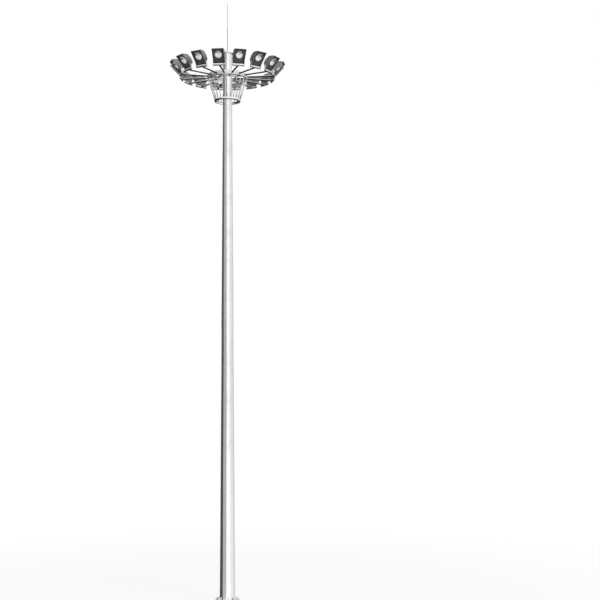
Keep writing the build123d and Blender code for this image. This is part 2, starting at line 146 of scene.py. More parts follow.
# Carriage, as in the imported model
ARM_Z = 19.050
ARM_RADIUS = 0.030
SPOKE_COUNT = 8
RING_RADIUS = 0.745
RING_BOTTOM = 18.978
RING_HEIGHT = 0.170
LOWER_RADIUS = 0.487
LOWER_BOTTOM = 18.130
LOWER_HEIGHT = 0.090
RING_FLANGE = 0.072
RING_WEB = 0.008
GUIDE_RADIUS = 0.365
GUIDE_HEIGHT = 0.100
GUIDE_FLANGE = 0.040
GUIDE_WEB = 0.010
BAR_COUNT = 24
BAR_RADIUS = 0.0125
BAR_INSET = 0.018
YOKE_BACK = 1.705

# What is left to this script: welds, bolts, hinges, the rings' crowned faces and the ropes' lay
ARM_WELD = 0.005
BAR_WELD = 0.003
FOOT_WELD = 0.007
GUSSET_WELD = 0.004
GUSSET_SIDE = 0.007
GUSSET_REACH = 0.405
GUSSET_RISE = 0.108
STUD_RADIUS = 0.0165
STUD_TOP = 0.112
STUD_PITCH = 0.0035
NUT_ACROSS = 0.050
NUT_HEIGHT = 0.026
LOCK_NUT_HEIGHT = 0.018
WASHER_THICKNESS = 0.006
FITTING_HEIGHTS = (0.640, 1.140)
PLATE_EASE = 0.0006
RING_CROWN = 0.85
ROPE_LAY = 0.055
ROPE_SIDES = 18

# Studio: a key light, the level of plain light, and what polished metal sees: soft dark flags and,
# with a negative depth, a soft box, each by its direction from the camera towards +X, its width
# and its depth. They end between the slopes of FLAG_TOP, and the ground is dark below a slope.
KEY_STRENGTH = 1.9
KEY_ANGLE = radians(20)
KEY_TURN = radians(40)
KEY_HEIGHT = radians(26)
AMBIENT = 0.36
FLAGS = (
    (radians(-85), radians(50), 0.92),
    (radians(-135), radians(35), 0.90),
    (radians(150), radians(50), 0.32),
    (radians(14), radians(35), -0.62),
)
FLAG_TOP = (0.30, 0.48)
GROUND_SHADE = 0.04
GROUND_SLOPE = (-0.26, -0.13)

# Floor: its glow, the shares of its radius over which its shadow fades, and the squares of the
# heights above it between which polished metal comes to see it bright
FLOOR_RADIUS = 24.0
FLOOR_GLOW = 0.9
FLOOR_FADE = (0.25, 0.95)
FLOOR_SEEN = (200.0, 60.0)


class Value:
    """A quantity that varies over a surface: a shader socket that Python's operators work on."""

    def __init__(self, paint, socket):
        self.paint = paint
        self.socket = socket

    def __add__(self, other):
        return self.paint.maths("ADD", self, other)

    __radd__ = __add__

    def __sub__(self, other):
        return self.paint.maths("SUBTRACT", self, other)

    def __rsub__(self, other):
        return self.paint.maths("SUBTRACT", other, self)

    def __mul__(self, other):
        return self.paint.maths("MULTIPLY", self, other)

    __rmul__ = __mul__

    def __truediv__(self, other):
        return self.paint.maths("DIVIDE", self, other)

    def __rtruediv__(self, other):
        return self.paint.maths("DIVIDE", other, self)

    def __neg__(self):
        return self.paint.maths("MULTIPLY", self, -1.0)


class Paint:
    """One finish: a node tree built from expressions on Values."""

    def __init__(self, name, tree=None):
        if tree is None:
            self.material = bpy.data.materials.new(name)
            self.material.use_nodes = True
            tree = self.material.node_tree
        self.tree = tree
        self.tree.nodes.clear()

    def node(self, kind, settings=None, **sockets):
        """Any node: its settings first, then the values or links of its sockets, which go by
        name, or by number as _0, _1 and so on."""
        made = self.tree.nodes.new(kind)
        for name, value in (settings or {}).items():
            setattr(made, name, value)
        for name, value in sockets.items():
            socket = made.inputs[int(name[1:]) if name[0] == "_" else name.replace("_", " ")]
            if isinstance(value, Value):
                self.tree.links.new(value.socket, socket)
            else:
                socket.default_value = value
        return made

    def value(self, made, output=0):
        return Value(self, made.outputs[output])

    def maths(self, operation, *terms):
        sockets = {f"_{index}": term for index, term in enumerate(terms)}
        return self.value(self.node("ShaderNodeMath", {"operation": operation}, **sockets))

    def root(self, term):
        return self.maths("SQRT", term)

    def size(self, term):
        return self.maths("ABSOLUTE", term)

    def smaller(self, first, second):
        return self.maths("MINIMUM", first, second)

    def larger(self, first, second):
        return self.maths("MAXIMUM", first, second)

    def clamp(self, term):
        return self.smaller(self.larger(term, 0.0), 1.0)

    def step(self, term, low, high):
        """Smooth step of a term: 0 at low and 1 at high, whichever of the two is larger."""
        settings = {"interpolation_type": "SMOOTHSTEP"}
        made = self.node("ShaderNodeMapRange", settings, Value=term, From_Min=low, From_Max=high)
        return self.value(made)

    def mix(self, factor, first, second):
        """Colour between first and second."""
        made = self.node("ShaderNodeMix", {"data_type": "RGBA"}, _0=factor, _6=first, _7=second)
        return self.value(made, 2)

    def position(self):
        """Object coordinates, as a vector."""
        return self.value(self.node("ShaderNodeTexCoord"), "Object")

    def split(self, vector):
        """The x, y and z of a vector."""
        made = self.node("ShaderNodeSeparateXYZ", Vector=vector)
        return [self.value(made, index) for index in range(3)]

    def vector(self, x, y, z):
        return self.value(self.node("ShaderNodeCombineXYZ", X=x, Y=y, Z=z))

    def scaled(self, vector, factors):
        made = self.node("ShaderNodeVectorMath", {"operation": "MULTIPLY"}, _0=vector, _1=factors)
        return self.value(made)

    def noise(self, vector, scale, detail, roughness=0.55):
        made = self.node(
            "ShaderNodeTexNoise", Vector=vector, Scale=scale, Detail=detail, Roughness=roughness
        )
        return self.value(made)

    def cells(self, vector, scale, feature="F1", output="Distance"):
        made = self.node("ShaderNodeTexVoronoi", {"feature": feature}, Vector=vector, Scale=scale)
        return self.value(made, output)

    def bump(self, height, distance, strength):
        made = self.node("ShaderNodeBump", Height=height, Distance=distance, Strength=strength)
        return self.value(made, "Normal")

    def finish(self, **sockets):
        """Principled surface with the given sockets, joined to the output."""
        self.output(self.value(self.node("ShaderNodeBsdfPrincipled", **sockets)))
        return self.material

    def output(self, surface):
        self.node("ShaderNodeOutputMaterial", Surface=surface)


def grey(level):
    """Linear grey, as a colour."""
    return (level, level, level, 1.0)


# Painted shade: this grey darkens faces that look down and bands under overhangs
SHADE_GREY = grey(0.10)
# Deeper painted shade, for the undersides of tubes
DEEP_SHADE_GREY = grey(0.03)
MASK_PAINT = grey(0.185)
# Slopes over which the painted shade on faces that look down comes in
UNDERSIDE_SHADE = (0.35, 0.80)

# Finishes


def underside_shade(paint, limits=UNDERSIDE_SHADE):
    """Share of painted shade by how steeply a face looks down: 0 below the first limit, 1 above the
    last.
    """
    normal = paint.value(paint.node("ShaderNodeNewGeometry"), "Normal")
    upward = paint.split(normal)[2]
    return paint.step(-upward, *limits)


def galvanised(name, bright, dull, rough, crystals=26.0, streaks=0.35, shade_heights=(0.0, -1.0)):
    """Hot-dip zinc: crystals of slightly different grey, soft runs down the face, dull patches,
    and painted shade on faces that look down and from the first to the second of the given heights."""
    paint = Paint(name)
    point = paint.position()
    height = paint.split(point)[2]
    crystal = paint.cells(point, crystals, output="Color")
    tone = paint.value(paint.node("ShaderNodeSeparateColor", Color=crystal))
    edge = paint.cells(point, crystals, feature="DISTANCE_TO_EDGE")
    runs = paint.noise(paint.scaled(point, (9.0, 9.0, 0.35)), 1.6, 4.0)
    patches = paint.noise(point, 2.2, 5.0, 0.6)
    fine = paint.noise(point, 320.0, 2.0)
    run_marks = streaks * paint.step(runs, 0.42, 0.72)
    patch_marks = 0.45 * paint.step(patches, 0.45, 0.7)
    dullness = paint.clamp(0.25 * tone + run_marks + patch_marks)
    # Painted shade: faces that look down, and a band between two heights, such as just under the cap's
    # rim and along the yokes' lower edge, turn dark
    dirt_and_shade = paint.larger(underside_shade(paint), 0.85 * paint.step(height, *shade_heights))
    relief = 0.5 * tone + 0.35 * paint.step(edge, 0.0, 0.05) + 0.12 * fine
    return paint.finish(
        Base_Color=paint.mix(dirt_and_shade, paint.mix(dullness, bright, dull), SHADE_GREY),
        Metallic=0.86,
        Roughness=rough + 0.12 * dullness + 0.05 * tone,
        Normal=paint.bump(relief, 0.0004, 0.35),
    )


def rolled_band(name, bright, dull, rough, metallic=0.35):
    """Polished rolled strip: fine lines round the ring, faint clouds and specks, and painted shade
    below.
    """
    paint = Paint(name)
    point = paint.position()
    lines = paint.noise(paint.scaled(point, (1.0, 1.0, 260.0)), 3.0, 3.0)
    cloud = paint.noise(point, 5.0, 4.0)
    speck = paint.noise(point, 60.0, 2.0)
    dullness = paint.clamp(0.55 * paint.step(cloud, 0.4, 0.75) + 0.25 * speck)
    return paint.finish(
        # Painted shade on faces that look down
        Base_Color=paint.mix(underside_shade(paint), paint.mix(dullness, bright, dull), SHADE_GREY),
        Metallic=metallic,
        Roughness=rough + 0.08 * lines + 0.10 * dullness,
        Normal=paint.bump(lines, 0.0002, 0.3),
    )


def drawn_tube(name, bright, dull, rough, metallic=0.9, below=UNDERSIDE_SHADE):
    """Zinc-coated tube: soft clouds, spots and fine grain, and a matt painted shade below."""
    paint = Paint(name)
    point = paint.position()
    cloud = paint.noise(point, 7.0, 5.0, 0.6)
    grain = paint.noise(point, 140.0, 3.0)
    spots = paint.cells(point, 90.0)
    dullness = paint.clamp(0.6 * paint.step(cloud, 0.4, 0.7) + 0.35 * paint.step(spots, 0.35, 0.1))
    # Painted shade: faces that look down turn near black and matt
    dirt_and_shade = underside_shade(paint, below)
    return paint.finish(
        Base_Color=paint.mix(dirt_and_shade, paint.mix(dullness, bright, dull), DEEP_SHADE_GREY),
        Metallic=metallic * (1.0 - dirt_and_shade),
        Specular_IOR_Level=0.0,
        Roughness=rough + 0.16 * dullness + 0.06 * grain,
        Normal=paint.bump(grain + 0.5 * cloud, 0.0003, 0.3),
    )


def lamp_places(paint, point):
    """Place on the nearest floodlight, from the axis' polar coordinates: along the face, sideways
    from its middle line and into the body, the same for all sixteen."""
    x, y, z = paint.split(point)
    turn = paint.maths("ARCTAN2", y, x)
    share = (turn - LAMP_TURN) / LAMP_STEP
    local = (share - paint.maths("ROUND", share)) * LAMP_STEP
    reach = paint.root(x * x + y * y)
    out = reach * paint.maths("COSINE", local) - FACE_RADIUS
    sideways = reach * paint.maths("SINE", local)
    up = z - FACE_Z
    along = out * sin(LAMP_LEAN) + up * cos(LAMP_LEAN)
    into = up * sin(LAMP_LEAN) - out * cos(LAMP_LEAN)
    return along, sideways, into


def powder_coat(name, colour, worn, masked):
    """Textured grey powder coat, chalky towards the back, worn on the rim and the sides' edges,
    and darker and matt on the mask behind the glass."""
    paint = Paint(name)
    point = paint.position()
    along, sideways, into = lamp_places(paint, point)
    half = LAMP_WIDTH / 2
    off_middle = paint.size(sideways)
    inside = 1.0 - paint.step(off_middle, half - MASK_EDGE[1], half - MASK_EDGE[0])
    inside = inside * paint.step(into, *MASK_FRONT) * (1.0 - paint.step(into, *MASK_BACK))
    mask = inside * paint.step(paint.smaller(along, LAMP_LENGTH - along), *MASK_EDGE)
    peel = paint.noise(point, 420.0, 2.0)
    cloud = paint.noise(point, 6.0, 5.0, 0.62)
    scratch = paint.noise(paint.scaled(point, (60.0, 60.0, 8.0)), 1.0, 4.0)
    rim = 1.0 - paint.step(paint.size(into - 0.004), 0.0, 0.006)
    side = paint.step(off_middle, half - 0.004, half - 0.0005)
    wear = paint.clamp((0.5 * rim + 0.35 * side) * paint.step(scratch, 0.52, 0.66))
    dust = paint.step(into, 0.06, 0.24) * paint.step(cloud, 0.35, 0.7)
    base = paint.mix(paint.clamp(0.55 * dust + 0.25 * cloud), colour, worn)
    return paint.finish(
        Base_Color=paint.mix(mask, paint.mix(wear, base, grey(0.42)), masked),
        Metallic=(0.15 + 0.5 * wear) * (1.0 - mask),
        Roughness=0.42 + 0.2 * dust - 0.1 * wear,
        Specular_IOR_Level=0.0,
        Normal=paint.bump(peel, 0.0003, 0.25),
    )


def clear_glass(name):
    """Toughened pane: mostly clear, a faint grey-green body and a film of dust near its edges."""
    paint = Paint(name)
    point = paint.position()
    _, sideways, _ = lamp_places(paint, point)
    cloud = paint.noise(point, 9.0, 4.0)
    edge = paint.step(paint.size(sideways), 0.12, 0.19)
    film = 0.05 + 0.07 * edge * cloud
    return paint.finish(
        Base_Color=(0.06, 0.065, 0.065, 1.0),
        Roughness=0.04 + 0.1 * film,
        Specular_IOR_Level=0.2,
        Alpha=0.10 + film,
    )


def hammered_reflector(name, masked):
    """Bright satin aluminium with a fine hammered face and a painted glow of the sky's light, painted
    darker and rougher near the mouth and with a painted shadow above the middle; the flange beyond the
    oval mouth is painted like the mask."""
    paint = Paint(name)
    point = paint.position()
    along, sideways, _ = lamp_places(paint, point)
    facets = paint.cells(point, 70.0)
    up = (along - REFLECTOR_ALONG) / REFLECTOR_MOUTH
    across = sideways / (REFLECTOR_MOUTH * REFLECTOR_SQUEEZE)
    reach = paint.root(up * up + across * across)
    bowl = 1.0 - paint.step(reach, 1.005, 1.015)
    # Painted shadow: a band above the middle of the bowl is darker and glows less
    shade = paint.step(up, 0.0, 0.18) * paint.step(up, 0.72, 0.5)
    # Painted dimming near the mouth and in that band, which also makes the face rougher
    dull = paint.clamp(0.45 * paint.step(reach, 0.6, 1.0) + 0.9 * shade)
    return paint.finish(
        Base_Color=paint.mix(bowl, masked, paint.mix(dull, grey(0.95), grey(0.36))),
        Metallic=0.25,
        Roughness=0.45 + 0.1 * dull,
        # Painted glow: the bowl emits light though the lamp is off
        Emission_Color=paint.mix(bowl, grey(0.0), paint.mix(dull, grey(1.0), grey(0.08))),
        Emission_Strength=0.58,
        Normal=paint.bump(facets, 0.002, 0.5),
    )


def plain_finish(name, colour, rough, metallic=1.0, scale=60.0, glow=0.0):
    """Small pieces: an even finish broken by grain and light handling marks. Where glow is given, the
    pieces in a bowl carry a painted glow, though the lamp is off."""
    paint = Paint(name)
    point = paint.position()
    grain = paint.noise(point, scale, 4.0)
    marks = paint.noise(paint.scaled(point, (3.0, 3.0, 1.0)), scale / 6, 3.0)
    level = paint.clamp(0.5 * grain + 0.6 * paint.step(marks, 0.45, 0.7))
    dark = tuple(part * 0.72 for part in colour[:3]) + (1.0,)
    tint = paint.mix(level, colour, dark)
    return paint.finish(
        Base_Color=tint,
        Metallic=metallic,
        Roughness=rough + 0.15 * level,
        # Painted glow: the colour also emits light at the glow's strength
        Emission_Color=tint,
        Emission_Strength=glow,
        Normal=paint.bump(grain, 0.0002, 0.4),
    )


def rope_wire(name):
    """Stranded wire: bright crowns and painted shade in the valleys between strands, from the piece's
    own crown attribute.
    """
    paint = Paint(name)
    strand = paint.value(paint.node("ShaderNodeAttribute", {"attribute_name": "crown"}), "Fac")
    dirt_and_shade = paint.noise(paint.position(), 30.0, 3.0)
    # Painted shade: the valleys between strands are darker, broken by patches of dirt
    colour = paint.mix(paint.clamp(strand - 0.3 * dirt_and_shade), grey(0.12), grey(0.55))
    return paint.finish(Base_Color=colour, Metallic=0.9, Roughness=0.55 - 0.2 * strand)


def painted_sheet(name, colour, worn):
    """Pale paint on spun sheet: faint rain streaks down the slope, a soft orange peel, and painted
    shade on faces that look down.
    """
    paint = Paint(name)
    point = paint.position()
    x, y, z = paint.split(point)
    turn = paint.maths("ARCTAN2", y, x)
    streak = paint.noise(paint.vector(turn * 14.0, z * 1.2, 0.0), 1.5, 5.0)
    peel = paint.noise(point, 260.0, 2.0)
    level = paint.clamp(0.7 * paint.step(streak, 0.45, 0.75) + 0.15 * peel)
    return paint.finish(
        # Painted shade on faces that look down, such as the cap's underside
        Base_Color=paint.mix(underside_shade(paint), paint.mix(level, colour, worn), SHADE_GREY),
        Metallic=0.0,
        Roughness=0.38 + 0.2 * level,
        Normal=paint.bump(peel, 0.0002, 0.3),
    )


# Lamp places that the finishes and pieces share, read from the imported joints
pivots = [joint["pos_m"] for joint in frame["joints"] if joint["type"] == "hinge"]
pivot_x, pivot_y, pivot_z = pivots[0]
LAMP_COUNT = len(pivots)
LAMP_STEP = 2 * pi / LAMP_COUNT
LAMP_TURN = atan2(pivot_y, pivot_x)
PIVOT_RADIUS = hypot(pivot_x, pivot_y)
FACE_RADIUS = PIVOT_RADIUS - PIVOT_ALONG * sin(LAMP_LEAN) + PIVOT_BACK * cos(LAMP_LEAN)
FACE_Z = pivot_z - PIVOT_ALONG * cos(LAMP_LEAN) - PIVOT_BACK * sin(LAMP_LEAN)

finishes = {
    # Painted shadow: a dark band on the shaft just under the cap's rim
    "galvanised_shaft": galvanised(
        "galvanised_shaft", grey(0.84), grey(0.72), 0.30, shade_heights=(CAP_RIM - 0.024, CAP_RIM - 0.014)
    ),
    "galvanised_plate": galvanised("galvanised_plate", grey(0.72), grey(0.52), 0.36, 34.0, 0.2),
    "bright_band": rolled_band("bright_band", grey(0.90), grey(0.76), 0.34),
    "bright_tube": drawn_tube("bright_tube", grey(0.88), grey(0.72), 0.38, metallic=0.45),
    "pale_cap": painted_sheet("pale_cap", grey(0.97), grey(0.90)),
    "cast_pulley": plain_finish("cast_pulley", grey(0.30), 0.45),
    "steel_rope": rope_wire("steel_rope"),
    "lamp_paint": powder_coat("lamp_paint", grey(0.26), grey(0.36), MASK_PAINT),
    "lamp_glass": clear_glass("lamp_glass"),
}
reflector_metal = hammered_reflector("reflector_metal", MASK_PAINT)
# Painted shade: the arms and spokes go near black on every face that looks down at all
arm_tube = drawn_tube("arm_tube", grey(0.82), grey(0.62), 0.24, below=(-0.50, 0.0))
dark_band = rolled_band("dark_band", grey(0.88), grey(0.74), 0.22, metallic=0.9)
# Painted shade: the yokes' bars darken towards their lower edge
yoke_plate = galvanised(
    "yoke_plate", grey(0.78), grey(0.62), 0.36, 34.0, 0.2, shade_heights=(ARM_Z + 0.008, ARM_Z - 0.010)
)
fastener_zinc = plain_finish("fastener_zinc", grey(0.66), 0.30)
rod_metal = plain_finish("rod_metal", grey(0.34), 0.50, metallic=0.5)
weld_metal = plain_finish("weld_metal", grey(0.55), 0.42, scale=200.0)
gasket_rubber = plain_finish("gasket_rubber", grey(0.02), 0.55, metallic=0.0)
# These two carry a painted glow, though the lamp is off
lamp_ceramic = plain_finish("lamp_ceramic", grey(0.85), 0.45, metallic=0.0, glow=0.3)
bulb_glass = plain_finish("bulb_glass", grey(0.92), 0.12, metallic=0.0, glow=0.4)

# Every imported node takes the finish of its slot, and the yokes a brighter zinc with a painted shade
# along their lower edge
slot_of = {row["node"]: row["material_slot"] for row in frame["record"]["subparts"]}
for name, node in frame["nodes"].items():
    node.data.materials.clear()
    node.data.materials.append(yoke_plate if name == "lamp_yokes" else finishes[slot_of[name]])


# Surfaces worked out with numpy: a part is its points and its faces


def even_turns(count):
    """Even steps of a whole turn: 2 pi n / count."""
    return np.linspace(0, 2 * pi, count, endpoint=False)


def unit(vectors):
    """Vectors of length 1: v / |v|."""
    return vectors / np.linalg.norm(vectors, axis=-1, keepdims=True)


def run_along(path):
    """Distance from a path's start to each of its points: the sum of its steps' lengths."""
    return np.concatenate([[0], np.cumsum(np.linalg.norm(np.diff(path, axis=0), axis=1))])


def round_points(radius, angle, height):
    """Points about Z: x = r cos a, y = r sin a, z = h."""
    return np.stack(np.broadcast_arrays(radius * np.cos(angle), radius * np.sin(angle), height), -1)


def lattice(rows, columns, wrap_rows=False):
    """Quads joining a rows by columns grid of points that is closed round its columns, and round
    its rows where they wrap."""
    steps = np.arange(rows if wrap_rows else rows - 1)
    low, near = np.meshgrid(steps, np.arange(columns), indexing="ij")
    high = (low + 1) % rows
    far = (near + 1) % columns
    corners = ((low, near), (low, far), (high, far), (high, near))
    return np.stack([row * columns + column for row, column in corners], -1).reshape(-1, 4)


def rounded(corners, bends, steps=5):
    """Closed outline with a curve at each corner: (1 - t)^2 start + 2 t (1 - t) corner + t^2 end,
    where start and end lie on the corner's two sides at its bend's distance."""
    corners = np.asarray(corners, float)
    reach = np.broadcast_to(bends, len(corners))[:, None]
    start = corners + unit(np.roll(corners, 1, 0) - corners) * reach
    end = corners + unit(np.roll(corners, -1, 0) - corners) * reach
    t = np.linspace(0, 1, steps)[:, None]
    curve = (1 - t) ** 2 * start[:, None] + 2 * t * (1 - t) * corners[:, None] + t**2 * end[:, None]
    return curve.reshape(-1, 2)


def turned(profile, sides, closed=False):
    """Profile of (radius, height) pairs turned about Z. Rows at radius 0 close its ends, or it is
    a closed outline."""
    radius, height = np.asarray(profile, float).T[:, :, None]
    points = round_points(radius, even_turns(sides), height)
    return points.reshape(-1, 3), lattice(len(radius), sides, wrap_rows=closed)


def frames_along(path):
    """Two square directions at each point of a path, turned as little as can be by taking both
    from its tangent and one fixed side direction."""
    tangent = unit(np.gradient(path, axis=0))
    spread = np.ptp(path, axis=0)
    side = np.eye(3)[np.argmin(spread + np.abs(tangent).mean(0))]
    first = unit(np.cross(tangent, side))
    return first, np.cross(tangent, first)


def tube(path, radius, sides, closed=False):
    """Tube round a path: point + radius (first cos a + second sin a); radius may be an array
    over path and angle. Open tubes shrink to their end points so that they are closed."""
    if closed:
        ring = np.vstack([path[-1:], path, path[:1]])
        first, second = (part[1:-1] for part in frames_along(ring))
    else:
        first, second = frames_along(path)
    angle = even_turns(sides)[:, None]
    size = np.broadcast_to(radius, (len(path), sides))[..., None]
    around = first[:, None] * np.cos(angle) + second[:, None] * np.sin(angle)
    points = path[:, None] + size * around
    if not closed:
        ends = np.repeat(path[[0, -1], None], sides, 1)
        points = np.concatenate([ends[:1], points, ends[1:]])
    return points.reshape(-1, 3), lattice(len(points), sides, wrap_rows=closed)[:, ::-1]


def layered(outlines, heights, closed=True):
    """Flat outlines of (x, y) pairs laid over each other at their heights and joined, in a closed
    loop where they go out, up, in and down again."""
    levels = [np.column_stack([flat, np.full(len(flat), z)]) for flat, z in zip(outlines, heights)]
    return np.concatenate(levels), lattice(len(outlines), len(outlines[0]), wrap_rows=closed)


def plate(outline, low, high):
    """Flat outline given a thickness: its rim is eased by a small inset, and both faces run in to
    the middle."""
    middle = outline.mean(0)
    eased = middle + (outline - middle) * (1 - PLATE_EASE / np.abs(outline - middle).max())
    centre = np.broadcast_to(middle, outline.shape)
    stack = [centre, eased, outline, outline, eased, centre]
    heights = [low, low, low + PLATE_EASE, high - PLATE_EASE, high, high]
    return layered(stack, heights, closed=False)


def rectangle(length, width):
    return np.array([(1, 1), (-1, 1), (-1, -1), (1, -1)]) * (length / 2, width / 2)


def along_edges(corners, steps):
    """Closed path that follows straight edges, with the same number of steps on each."""
    t = np.linspace(0, 1, steps, endpoint=False)[:, None]
    path = corners[:, None] * (1 - t) + np.roll(corners, -1, 0)[:, None] * t
    return path.reshape(-1, 3)


def weld(path, size, closed=False):
    """Weld bead: a tube whose radius ripples as 1 + 0.14 cos(2 pi s / pitch) along its path."""
    pitch = 1.1 * size
    ripple = size * (1 + 0.14 * np.cos(2 * pi * run_along(path) / pitch))
    return tube(path, ripple[:, None], 6, closed)


def hexagon_nut(across, height):
    """Six-sided prism with its top corners taken off, standing on z = 0."""
    corner = across / 2 / cos(pi / 6)
    cut = 0.12 * corner
    profile = [(0, 0), (corner, 0), (corner, height - cut), (corner - cut, height), (0, height)]
    return turned(profile, 6)


def washer(radius, thickness, ease, sides):
    """Flat disc standing on z = 0, with both corners of its rim eased."""
    inner, high = radius - 0.0005, thickness - ease
    rim = [(inner, 0), (radius, ease), (radius, high), (inner, thickness)]
    return turned([(0, 0), *rim, (0, thickness)], sides)


def threaded_stud(radius, low, high, pitch, sides, rows_per_turn):
    """Stud whose radius dips in a helix: r = radius - depth |saw(z / pitch - a / 2 pi)|."""
    depth = 0.55 * pitch
    rows = int((high - low) / pitch * rows_per_turn)
    z = np.linspace(low, high, rows)[:, None]
    angle = even_turns(sides)
    wave = (z / pitch - angle / (2 * pi)) % 1.0
    points = round_points(radius - depth * np.abs(2 * wave - 1), angle, z)
    cap = np.zeros((1, sides, 3))
    points = np.concatenate([cap + [0, 0, low], points, cap + [0, 0, high]])
    return points.reshape(-1, 3), lattice(rows + 2, sides)


def joined(*parts):
    """Several parts as one."""
    offsets = np.cumsum([0] + [len(points) for points, _ in parts])
    faces = [part[1] + offset for part, offset in zip(parts, offsets)]
    return np.concatenate([part[0] for part in parts]), np.concatenate(faces)


def moved(part, x, y, z):
    """One part moved by x, y and z."""
    points, faces = part
    return points + (x, y, z), faces


def copied(part, places):
    """One part repeated at each place, a (count, 3, 4) stack of turns and moves."""
    points, faces = part
    places = np.asarray(places)
    repeated = np.einsum("nij,pj->npi", places[:, :, :3], points) + places[:, None, :, 3]
    shift = np.arange(len(places))[:, None, None] * len(points)
    return repeated.reshape(-1, 3), (faces[None] + shift).reshape(-1, faces.shape[1])


def place(origin, x_axis, y_axis, z_axis):
    """One turn and move as a 3 by 4 block, from the directions that x, y and z go to."""
    return np.stack([x_axis, y_axis, z_axis, origin], -1)


def about_axis(angles, radius=0.0, z=0.0):
    """Places round the mast: x outwards and z up, at each angle and the given radius and height."""
    out = np.stack([np.cos(angles), np.sin(angles), 0 * angles], -1)
    side = np.stack([-np.sin(angles), np.cos(angles), 0 * angles], -1)
    up = np.broadcast_to(Z_AXIS, out.shape)
    return np.stack([out, side, up, out * radius + up * z], -1)


def lamp_place(angle):
    """A floodlight's own directions: x up its face, y sideways, z into its body."""
    out, side, up, _ = about_axis(angle).T
    along = out * sin(LAMP_LEAN) + up * cos(LAMP_LEAN)
    into = up * sin(LAMP_LEAN) - out * cos(LAMP_LEAN)
    return place(out * FACE_RADIUS + up * FACE_Z, along, side, into)


def piece(name, part, material, body, smooth=True, crown=None):
    """Mesh object from points and faces, in the frame, riding on its body if it has one."""
    points, faces = part
    count, width = faces.shape
    mesh = bpy.data.meshes.new(name)
    mesh.vertices.add(len(points))
    mesh.vertices.foreach_set("co", points.astype(np.float32).ravel())
    mesh.loops.add(count * width)
    mesh.loops.foreach_set("vertex_index", faces.astype(np.int32).ravel())
    mesh.polygons.add(count)
    mesh.polygons.foreach_set("loop_start", np.arange(count, dtype=np.int32) * width)
    mesh.update(calc_edges=True)
    if crown is not None:
        values = mesh.attributes.new("crown", "FLOAT", "POINT").data
        values.foreach_set("value", crown.astype(np.float32))
    tidy_mesh(mesh, smooth)
    mesh.materials.append(material)
    made = bpy.data.objects.new(name, mesh)
    scene.collection.objects.link(made)
    if body:
        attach(made, body)
    return made


def tidy_mesh(mesh, smooth):
    """Welds the closed ends' repeated points and sets smooth or flat faces."""
    work = bmesh.new()
    work.from_mesh(mesh)
    bmesh.ops.remove_doubles(work, verts=work.verts, dist=1e-6)
    bmesh.ops.dissolve_degenerate(work, edges=work.edges, dist=1e-7)
    bmesh.ops.recalc_face_normals(work, faces=work.faces)
    work.to_mesh(mesh)
    work.free()
    mesh.polygons.foreach_set("use_smooth", np.full(len(mesh.polygons), smooth))
    mesh.update()


# Floodlights, each made once in its own directions: x up the face, y sideways, z into the body


def reflector_bowl():
    """Bowl about z: its radius falls from mouth to back as 1 - t^2.2 over its depth, with a rolled
    flange on the mask in front and a second skin behind. It is squeezed to an oval mouth."""
    t = np.linspace(0, 1, 16)
    radius = REFLECTOR_BACK + (REFLECTOR_MOUTH - REFLECTOR_BACK) * (1 - t**2.2)
    inner = np.column_stack([radius, REFLECTOR_FRONT + REFLECTOR_DEPTH * t])
    outer = inner[::-1] + SHEET
    flange = [(0.0125, 0.0003), (0.0130, -0.0007), (0.0110, -0.0018), (0.0040, -0.0012)]
    flange = np.add(flange, (REFLECTOR_MOUTH, REFLECTOR_FRONT))
    closed_back, closed_front = (0, outer[0, 1]), (0, inner[-1, 1])
    profile = np.vstack([closed_back, outer, flange, inner, closed_front])
    points, faces = turned(profile, 56)
    beyond = np.hypot(points[:, 0], points[:, 1]) - REFLECTOR_MOUTH
    widening = np.clip(beyond / REFLECTOR_FLANGE, 0, 1)
    points[:, 1] *= REFLECTOR_SQUEEZE + (1 - REFLECTOR_SQUEEZE) * widening
    return points, faces


def bulb_and_holder():
    """Tubular bulb along the face and the ceramic holder that it screws into, both about z here:
    the bulb's radius is sin(a)^0.4 of full size over its length, the holder is stepped."""
    a = np.linspace(0, pi, 17)
    bulb = turned(np.column_stack([BULB_RADIUS * np.sin(a) ** 0.4, -BULB_HALF * np.cos(a)]), 24)
    steps = [(0, 0), (0.017, 0), (0.019, 0.002), (0.019, 0.016), (0.024, 0.020), (0.024, 0.040)]
    holder = turned([*steps, (0, 0.040)], 24)
    return bulb, moved(holder, 0, 0, BULB_HALF - BULB_SEAT)


def rim_screws():
    """Button-head screws along the four sides of the front rim, with a dimpled middle, let into
    the rim a little."""
    crown = [(0, 0.0004), (0.0012, 0.0004), (0.0016, 0), (0.0030, 0.0006), (0.0038, 0.0022)]
    head = turned([*crown, (0.0038, 0.0026), (0, 0.0026)], 10)
    half = LAMP_WIDTH / 2 - SCREW_INSET
    along = np.linspace(SCREW_END, LAMP_LENGTH - SCREW_END, 4)
    across = np.linspace(-SCREW_SPREAD, SCREW_SPREAD, 3)
    spots = [(x, side * half) for side in (-1, 1) for x in along]
    spots += [(end, y) for end in (SCREW_INSET, LAMP_LENGTH - SCREW_INSET) for y in across]
    return copied(head, [place((x, y, -SCREW_PROUD), X_AXIS, Y_AXIS, Z_AXIS) for x, y in spots])


def pivot_bolts():
    """Washer and hexagon head over each pivot pin's end, along y outside the yoke's ears."""
    thickness = 0.0025
    head = moved(hexagon_nut(0.024, 0.0085), 0, 0, thickness)
    bolt = joined(washer(0.0165, thickness, 0.0005, 24), head)
    places = [
        place((PIVOT_ALONG, side * EAR_OUTSIDE, PIVOT_BACK), X_AXIS, -side * Z_AXIS, side * Y_AXIS)
        for side in (-1, 1)
    ]
    return copied(bolt, places)


